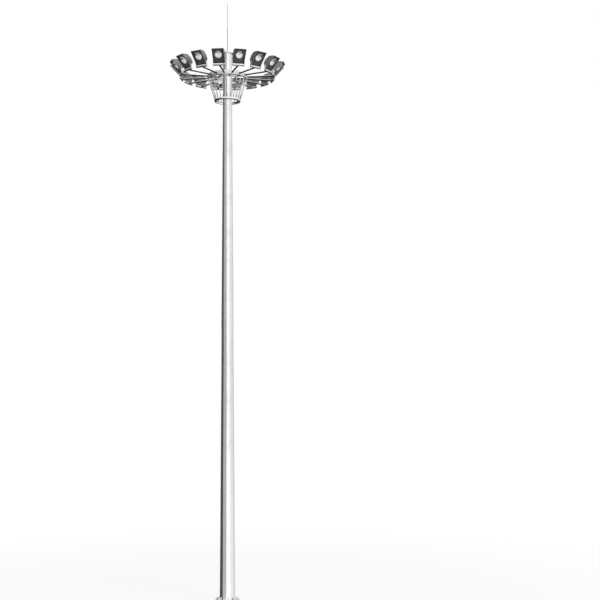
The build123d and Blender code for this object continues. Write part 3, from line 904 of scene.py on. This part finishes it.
def gasket():
    """Rubber seal round the pane: a flat rounded frame just proud of the glass."""
    length, width = LAMP_LENGTH - PANE_GAP, LAMP_WIDTH - PANE_GAP
    outer = rounded(rectangle(length, width), 0.006)
    inner = rounded(rectangle(length - 2 * GASKET_WIDTH, width - 2 * GASKET_WIDTH), 0.004)
    loop = layered([outer, outer, inner, inner], [0, -0.0014, -0.0010, 0])
    return moved(loop, LAMP_LENGTH / 2, 0, PANE_FRONT - 0.0002)


def floodlight_pieces():
    """What is fitted to each floodlight, made once and placed on all sixteen."""
    bulb, holder = bulb_and_holder()
    middle = (REFLECTOR_ALONG + BULB_OFF_CENTRE, 0, BULB_DEPTH)
    lengthways = [place(middle, -Z_AXIS, Y_AXIS, X_AXIS)]
    bowl = moved(reflector_bowl(), REFLECTOR_ALONG, 0, 0)
    fittings = (
        ("reflector", bowl, reflector_metal, "bright_band"),
        ("bulb", copied(bulb, lengthways), bulb_glass, "lamp_glass"),
        ("lamp_holder", copied(holder, lengthways), lamp_ceramic, "pale_cap"),
        ("rim_screws", rim_screws(), fastener_zinc, "bright_band"),
        ("pivot_bolts", pivot_bolts(), fastener_zinc, "galvanised_plate"),
        ("gasket", gasket(), gasket_rubber, "lamp_paint"),
    )
    for number in range(LAMP_COUNT):
        where = [lamp_place(LAMP_TURN + LAMP_STEP * number)]
        lamp = f"floodlight_{number + 1:02d}"
        for name, part, finish, slot in fittings:
            flat = name in ("rim_screws", "pivot_bolts", "gasket")
            made = piece(f"{lamp}_{name}", copied(part, where), finish, lamp, smooth=not flat)


# Carriage


def ring_channel(radius, low, height, flange, web, open_below=False):
    """Rolled ring: a channel, or an angle where open below, with its outer bends well rounded and
    the outer face crowned by the roll, so that its edges lie a share of the web further in."""
    high, inner, back = low + height, radius - flange, radius - web
    crown = RING_CROWN * web
    edge, crest = radius - crown, (radius + crown, low + height / 2)
    corners = [(edge, low), crest, (edge, high), (inner, high), (inner, high - web)]
    corners += [(back, high - web)]
    bends = [2.2 * web, height / 2 - 2.4 * web, 1.5 * web, 0.25 * web, 0.25 * web, 0.7 * web]
    if open_below:
        corners += [(back, low)]
        bends = [0.25 * web, *bends[1:], 0.25 * web]
    else:
        corners += [(back, low + web), (inner, low + web), (inner, low)]
        bends += [0.7 * web, 0.25 * web, 0.25 * web]
    return turned(rounded(corners, bends, 9), 256, closed=True)


def ring_of_tubes(name, node, metal, count, start, end, radius, bead):
    """Like tubes round the mast between two (radius, height) points, with a weld at each end."""
    line = np.array([(start[0], 0, start[1]), (end[0], 0, end[1])])
    over = np.cross(unit(line[1] - line[0]), Y_AXIS)
    a = even_turns(32)[:, None]
    hoop = (radius + 0.3 * bead) * (np.cos(a) * Y_AXIS + np.sin(a) * over)
    places = about_axis(LAMP_TURN + even_turns(count))
    bar = tube(np.linspace(line[0], line[1], 5), radius, 24)
    tubes = piece(name, copied(bar, places), metal, "carriage")
    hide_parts(node)
    beads = joined(*[weld(tip + hoop, bead, closed=True) for tip in line])
    welds = piece(name + "_welds", copied(beads, places), weld_metal, "carriage")


def carriage_pieces():
    """The three rolled rings, and the arms, spokes and cage bars as round tubes."""
    upper = ring_channel(RING_RADIUS, RING_BOTTOM, RING_HEIGHT, RING_FLANGE, RING_WEB)
    lower = ring_channel(LOWER_RADIUS, LOWER_BOTTOM, LOWER_HEIGHT, RING_FLANGE, RING_WEB)
    guide_low = ARM_Z - GUIDE_HEIGHT / 2
    guide = ring_channel(GUIDE_RADIUS, guide_low, GUIDE_HEIGHT, GUIDE_FLANGE, GUIDE_WEB, True)
    for name, part, metal, finish in (
        ("upper_ring", upper, finishes["bright_band"], "bright_band"),
        ("lower_ring", lower, dark_band, "bright_band"),
        ("guide_ring", guide, finishes["galvanised_plate"], "galvanised_plate"),
    ):
        made = piece(name + "_rolled", part, metal, "carriage")
        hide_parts(name)
    arm = ((RING_RADIUS, ARM_Z), (YOKE_BACK, ARM_Z), ARM_RADIUS, ARM_WELD)
    spoke = ((GUIDE_RADIUS, ARM_Z), (RING_RADIUS - RING_WEB, ARM_Z), ARM_RADIUS, ARM_WELD)
    bar_foot = (LOWER_RADIUS - BAR_INSET, LOWER_BOTTOM + LOWER_HEIGHT)
    bar = (bar_foot, (RING_RADIUS - BAR_INSET, RING_BOTTOM), BAR_RADIUS, BAR_WELD)
    ring_of_tubes("arms_round", "lamp_arms", arm_tube, LAMP_COUNT, *arm)
    ring_of_tubes("spokes_round", "ring_spokes", arm_tube, SPOKE_COUNT, *spoke)
    ring_of_tubes("cage_bars_round", "cage_bars", finishes["bright_tube"], BAR_COUNT, *bar)


# Mast head

hoist_places = about_axis(FIRST_FACET + even_turns(HOIST_COUNT))


def rain_cap():
    """Spun cap: out along its inner face, round its lip and back up its outer face."""
    under, wall, lip_low = CAP_CROWN - CAP_SHEET, CAP_RADIUS - CAP_SHEET, CAP_RIM - CAP_LIP
    profile = [(0, under), (CAP_TOP - CAP_SHEET, under), (wall, CAP_RIM - 0.003)]
    profile += [(wall, lip_low + 0.001), (CAP_RADIUS - 0.003, lip_low), (CAP_RADIUS, lip_low + 0.002)]
    profile += [(CAP_RADIUS, CAP_RIM), (CAP_TOP + 0.004, CAP_CROWN - 0.001)]
    profile += [(CAP_TOP - 0.004, CAP_CROWN), (0, CAP_CROWN)]
    cap = piece("rain_cap_spun", turned(profile, 128), finishes["pale_cap"], "mast")
    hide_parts("rain_cap")


def lightning_rod():
    """Turned rod: foot and its fillet, lower rod, sleeve, upper rod and point."""
    steps = [(0, 0), (0.040, 0), (0.040, 0.007), (0.038, 0.008), (0.015, 0.008), (0.012, 0.030)]
    steps += [(0.011, 0.034), (0.011, 0.825), (0.013, 0.827), (0.013, 0.845), (0.009, 0.851)]
    steps += [(0.007, 0.857), (0.007, 1.740), (0.0045, 1.770), (0.0015, 1.7990), (0, 1.7998)]
    part = moved(turned(steps, 24), 0, 0, ROD_FOOT)
    rod = piece("lightning_rod_turned", part, rod_metal, "mast")
    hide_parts("lightning_rod")


def head_pulleys():
    """Wheels with a hub, a thin web and a round groove, on edge in their brackets, and the nuts
    and washers of their pins."""
    groove = np.linspace(-pi / 2, pi / 2, 9)
    flank = np.column_stack([0.0705 - 0.0045 * np.cos(groove), 0.0045 * np.sin(groove)])
    half = [(0.0122, -0.017), (0.024, -0.017), (0.026, -0.015), (0.026, -0.010), (0.055, -0.008)]
    half += [(0.070, -0.013), (0.079, -0.013), (0.080, -0.012)]
    wheel = turned([*half, *flank, *[(r, -z) for r, z in half[::-1]]], 48, closed=True)
    on_edge = [place((PULLEY_RADIUS, 0, PULLEY_Z), X_AXIS, Z_AXIS, -Y_AXIS)]
    wheel = copied(copied(wheel, on_edge), hoist_places)
    wheels = piece("pulleys_turned", wheel, finishes["cast_pulley"], "mast")
    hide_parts("head_pulleys")

    disc = turned([(0, 0), (0.016, 0), (0.016, 0.002), (0, 0.002)], 24)
    points, faces = joined(hexagon_nut(0.019, 0.008), disc)
    ends = [moved((points * (1, 1, end), faces[:, ::end]), 0, 0, end * PULLEY_CHEEK) for end in (-1, 1)]
    pin = copied(copied(joined(*ends), on_edge), hoist_places)
    pins = piece("pulley_pin_nuts", pin, fastener_zinc, "mast", smooth=False)


def laid_rope(path):
    """Rope of six strands: radius = R (1 - 0.16 (1 - |cos(3 (a - 2 pi s / lay))|)) round its path,
    and its crown value is 1 on a strand and 0 between two."""
    twist = 2 * pi * run_along(path)[:, None] / ROPE_LAY
    crest = np.abs(np.cos(3 * (even_turns(ROPE_SIDES) - twist)))
    part = tube(path, ROPE_RADIUS * (1 - 0.16 * (1 - crest)), ROPE_SIDES)
    return part, np.pad(crest, ((1, 1), (0, 0))).ravel()


def ropes():
    """Each hoist's rope: over its pulley and into the mast, and straight down to the carriage."""
    bend = np.linspace(0, pi / 2, 40)
    reach = PULLEY_RADIUS + ROPE_GROOVE * np.cos(bend)
    height = PULLEY_Z + ROPE_GROOVE * np.sin(bend)
    over = np.column_stack([reach, 0 * bend, height])
    inside = np.linspace(over[-1] - (0.004, 0, 0), (ROPE_INNER, 0, height[-1]), 40)
    drop = np.linspace((ROPE_LINE, 0, PULLEY_Z - 0.0002), (ROPE_LINE, 0, ROPE_END), 240)
    for name, node, path in (
        ("pulley_ropes_laid", "pulley_ropes", np.vstack([over, inside])),
        ("hoist_ropes_laid", "hoist_ropes", drop),
    ):
        part, crown = laid_rope(path)
        laid, crowns = copied(part, hoist_places), np.tile(crown, HOIST_COUNT)
        made = piece(name, laid, finishes["steel_rope"], None, crown=crowns)
        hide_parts(node)
        if node == "pulley_ropes":
            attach(made, "mast")
        else:
            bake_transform(made)


def rope_forks():
    """Swaged terminal on each hoist rope's end, with two cheeks and a bolt through its lug."""
    swage = [(0, 0.012), (0.0062, 0.012), (0.0070, 0.016), (0.0070, 0.052), (0.0052, 0.060)]
    terminal = moved(turned([*swage, (0, 0.060)], 20), 0, 0, ROPE_END - 0.010)
    tab = plate(rounded(rectangle(0.040, 0.022), 0.009), 0.0, 0.004)
    spots = [(0, side * 0.0065 - 0.002, ROPE_END - 0.018) for side in (-1, 1)]
    cheeks = copied(tab, [place(spot, Z_AXIS, X_AXIS, Y_AXIS) for spot in spots])
    bolt = [(0, -0.013), (0.008, -0.013), (0.008, -0.0105), (0.006, -0.010), (0.006, 0.012)]
    through = place((0, 0, ROPE_END - 0.031), X_AXIS, -Z_AXIS, Y_AXIS)
    bolt = copied(turned([*bolt, (0, 0.012)], 20), [through])
    fork = moved(joined(terminal, cheeks, bolt), ROPE_LINE, 0, 0)
    made = piece("rope_forks", copied(fork, hoist_places), fastener_zinc, "carriage")


# Mast foot and door


def anchor_bolts():
    """Threaded studs, each with a washer, a nut and a lock nut turned at random."""
    angles = SHAFT_TURN + even_turns(SHAFT_SIDES)
    spots = about_axis(angles, BOLT_CIRCLE)
    stud = threaded_stud(STUD_RADIUS, 0.001, STUD_TOP, STUD_PITCH, 16, 4)
    disc = moved(washer(0.0335, WASHER_THICKNESS, 0.001, 32), 0, 0, FLANGE_TOP)
    parts = [copied(stud, spots), copied(disc, spots)]
    turns = rng.uniform(0, pi / 3, (2, SHAFT_SIDES))
    level = FLANGE_TOP + WASHER_THICKNESS
    for height, turn in zip((NUT_HEIGHT, LOCK_NUT_HEIGHT), turns):
        twisted = about_axis(angles + turn, 0.0, level)
        twisted[:, :, 3] += spots[:, :, 3]
        parts.append(copied(hexagon_nut(NUT_ACROSS, height), twisted))
        level += height
    bolts = piece("anchor_bolts", joined(*parts), fastener_zinc, "mast", smooth=False)


def foot_welds():
    """Beads round the mast's foot, and up and out along both sides of each gusset."""
    corner = BASE_RADIUS - NARROWING * FLANGE_TOP
    ring = round_points(corner + 0.004, SHAFT_TURN + even_turns(SHAFT_SIDES), FLANGE_TOP + 0.003)
    beads = [weld(along_edges(ring, 24), FOOT_WELD, closed=True)]
    flats = about_axis(FIRST_FACET + even_turns(SHAFT_SIDES))
    edge, low = corner * cos(pi / SHAFT_SIDES), FLANGE_TOP + 0.002
    for y in (-GUSSET_SIDE, GUSSET_SIDE):
        top = (edge - 0.0006, y, FLANGE_TOP + GUSSET_RISE)
        up = np.linspace((edge, y, low + 0.002), top, 50)
        out = np.linspace((edge, y, low), (GUSSET_REACH, y, low), 70)
        beads += [copied(weld(line, GUSSET_WELD), flats) for line in (up, out)]
    welds = piece("foot_welds", joined(*beads), weld_metal, "mast")


def door_fittings():
    """Seen from outside, two hinges on the door's right and two key-headed locks on its left."""
    out, side, up, _ = about_axis(FIRST_FACET + even_turns(SHAFT_SIDES)[DOOR_FACET]).T
    half = [(0, -0.045), (0.007, -0.045), (0.009, -0.043), (0.009, -0.0155), (0.008, -0.015)]
    half += [(0.009, -0.0145)]
    barrel = turned(half + [(r, -z) for r, z in half[::-1]], 20)
    leaf = plate(rounded(rectangle(0.050, 0.070), 0.008), 0.0, 0.003)
    lock = [(0, 0), (0.016, 0), (0.018, 0.002), (0.018, 0.004), (0.015, 0.006), (0.008, 0.006)]
    lock = turned([*lock, (0.006, 0.003), (0, 0.003)], 28)
    parts = []
    for z in FITTING_HEIGHTS:
        face = (BASE_RADIUS - NARROWING * z) * cos(pi / SHAFT_SIDES)
        base = out * face + up * z
        parts.append(copied(barrel, [place(base + out * 0.010 + side * 0.112, out, side, up)]))
        parts.append(copied(leaf, [place(base + out * 0.0052 + side * 0.088, side, up, out)]))
        parts.append(copied(lock, [place(base + out * 0.0002 - side * 0.070, side, up, out)]))
    made = piece("door_fittings", joined(*parts), fastener_zinc, "mast")


floodlight_pieces()
carriage_pieces()
rain_cap()
lightning_rod()
head_pulleys()
ropes()
rope_forks()
anchor_bolts()
foot_welds()
door_fittings()


# Studio


def seen_flags(paint, x, y):
    """How bright the surroundings are in each level direction, for polished metal only: 1 less
    each flag's depth times exp(-(angle off its middle / width)^2)."""
    turn = paint.maths("ARCTAN2", x, -y)
    shade = 1.0
    for middle, width, depth in FLAGS:
        off = (turn - middle) / width
        shade = shade - depth * paint.maths("EXPONENT", -(off * off))
    return paint.larger(shade, 0.0)


def seen_rays(paint):
    """1 for camera and clear rays, 1 for glossy rays, and the ray's length."""
    light = paint.node("ShaderNodeLightPath")
    outputs = ("Is Camera Ray", "Is Glossy Ray", "Is Transmission Ray", "Ray Length")
    camera, glossy, clear, length = (paint.value(light, output) for output in outputs)
    return paint.smaller(camera + clear, 1.0), glossy, length


def studio_world():
    """White surroundings. What polished metal sees has the flags, and is dark below the ground's
    slope; plain light is a level grey."""
    world = bpy.data.worlds.new("studio")
    world.use_nodes = True
    scene.world = world
    paint = Paint("studio", world.node_tree)
    x, y, z = paint.split(paint.value(paint.node("ShaderNodeTexCoord"), "Generated"))
    ground = GROUND_SHADE + (1.0 - GROUND_SHADE) * paint.step(z, *GROUND_SLOPE)
    clear, glossy, _ = seen_rays(paint)
    plain = 1.0 - paint.smaller(clear + glossy, 1.0)
    flags = seen_flags(paint, x, y)
    over = paint.step(z, *FLAG_TOP)
    strength = clear + glossy * (flags + (1.0 - flags) * over) * ground + AMBIENT * plain
    background = paint.node("ShaderNodeBackground", Color=grey(1.0), Strength=strength)
    paint.node("ShaderNodeOutputWorld", Surface=paint.value(background))


def studio_floor():
    """Round pale floor whose shadow fades out towards its edge. Polished metal near it sees it as
    bright as the surroundings, and metal high above, where the ray's length squared less the
    reach squared is large, sees it dark."""
    rings = np.linspace(0, FLOOR_RADIUS, 25)
    disc = turned(np.column_stack([rings, 0 * rings]), 96)
    paint = Paint("pale_floor")
    x, y, _ = paint.split(paint.position())
    square = x * x + y * y
    reach = paint.root(square) / FLOOR_RADIUS
    clear, glossy, length = seen_rays(paint)
    near = paint.step(length * length - square, *FLOOR_SEEN)
    bright = clear + glossy * near * seen_flags(paint, x, y)
    share = clear * (FLOOR_GLOW + (1.0 - FLOOR_GLOW) * paint.step(reach, *FLOOR_FADE)) + glossy
    diffuse = paint.value(paint.node("ShaderNodeBsdfDiffuse", Color=grey(0.80)))
    glow = paint.value(paint.node("ShaderNodeEmission", Color=grey(1.0), Strength=bright))
    paint.output(paint.value(paint.node("ShaderNodeMixShader", _0=share, _1=diffuse, _2=glow)))
    floor = piece("studio_floor", disc, paint.material, None)


def key_light():
    """One broad soft sun from the camera's right, which lights plain surfaces only."""
    lamp = bpy.data.lights.new("key", "SUN")
    lamp.energy = KEY_STRENGTH
    lamp.angle = KEY_ANGLE
    sun = bpy.data.objects.new("key", lamp)
    level = cos(KEY_HEIGHT)
    out = Vector((sin(KEY_TURN) * level, -cos(KEY_TURN) * level, sin(KEY_HEIGHT)))
    sun.rotation_euler = out.to_track_quat("Z", "Y").to_euler()
    sun.visible_glossy = False
    scene.collection.objects.link(sun)


def photo_camera():
    """The photograph's camera, as a turn built from its pan, pitch and roll."""
    data = bpy.data.cameras.new("camera")
    data.lens = CAMERA_LENS
    data.sensor_width = CAMERA_SENSOR
    data.sensor_fit = "HORIZONTAL"
    data.clip_end = CAMERA_REACH
    camera = bpy.data.objects.new("camera", data)
    heading = CAMERA_SWING + CAMERA_PAN
    level = cos(CAMERA_PITCH)
    ahead = Vector((sin(heading) * level, cos(heading) * level, sin(CAMERA_PITCH)))
    across = Vector((cos(heading), -sin(heading), 0.0))
    over = across.cross(ahead)
    right = across * cos(CAMERA_ROLL) + over * sin(CAMERA_ROLL)
    up = over * cos(CAMERA_ROLL) - across * sin(CAMERA_ROLL)
    turn = Matrix((right, up, -ahead)).transposed().to_4x4()
    stand_x, stand_y = -CAMERA_DISTANCE * sin(CAMERA_SWING), -CAMERA_DISTANCE * cos(CAMERA_SWING)
    camera.matrix_world = Matrix.Translation((stand_x, stand_y, CAMERA_HEIGHT)) @ turn
    scene.collection.objects.link(camera)
    scene.camera = camera


# Polished metal mirrors the studio alone, not the pieces beside it
for made in scene.objects:
    made.visible_glossy = False

studio_world()
studio_floor()
key_light()
photo_camera()
scene.view_settings.view_transform = "Standard"
